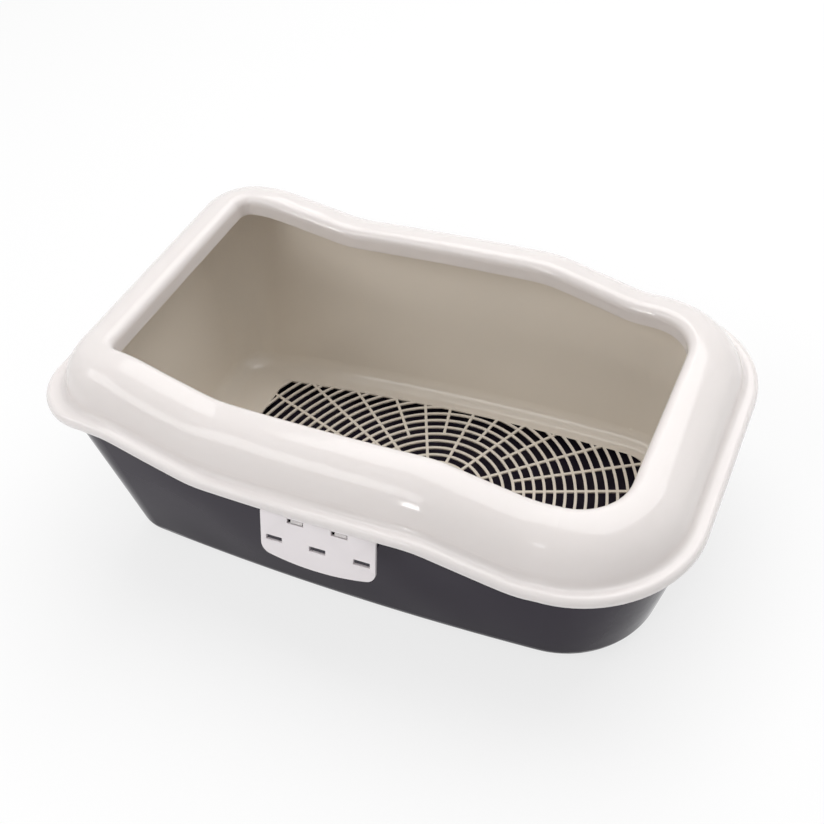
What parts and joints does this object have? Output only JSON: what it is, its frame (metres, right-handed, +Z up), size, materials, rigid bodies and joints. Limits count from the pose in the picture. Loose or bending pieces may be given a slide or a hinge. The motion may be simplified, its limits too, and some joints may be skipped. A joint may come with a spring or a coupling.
{
  "type": "litter tray",
  "caption": "Open sifting litter tray: dark base pan, pale sieve tray with a web floor, and a broad waved rim held down by side clips.",
  "frame": {"origin": "middle of the whole tray's footprint, on the ground", "axes": "+X along the tray to its low entry end, +Y to its left seen from the back, +Z up"},
  "size_m": [0.5251, 0.3646, 0.2205],
  "materials": {
    "base": "glossy charcoal polypropylene",
    "sieve": "semi-gloss cream polypropylene",
    "rim": "glossy warm white polypropylene",
    "clip": "satin warm white polypropylene"
  },
  "bodies": {
    "pan": {"base_pan": "base", "pan_floor": "base"},
    "sieve": {"sieve_tray": "sieve", "sieve_web": "sieve"},
    "rim": {"rim": "rim"},
    "clip_left": {"clip_left": "clip"},
    "clip_right": {"clip_right": "clip"}
  },
  "joints": [
    {"name": "sieve_lift", "type": "slide", "parent": "pan", "child": "sieve", "axis": [0, 0, 1], "range_m": [0, 0.2]},
    {"name": "rim_lift", "type": "slide", "parent": "sieve", "child": "rim", "axis": [0, 0, 1], "range_m": [0, 0.1]},
    {"name": "clip_left_swing", "type": "hinge", "parent": "rim", "child": "clip_left", "pos_m": [0.002, -0.17065, 0.1562], "axis": [-1, 0, 0], "range_deg": [-15, 10]},
    {"name": "clip_right_swing", "type": "hinge", "parent": "rim", "child": "clip_right", "pos_m": [0.002, 0.17065, 0.1562], "axis": [1, 0, 0], "range_deg": [-15, 10]}
  ]
}
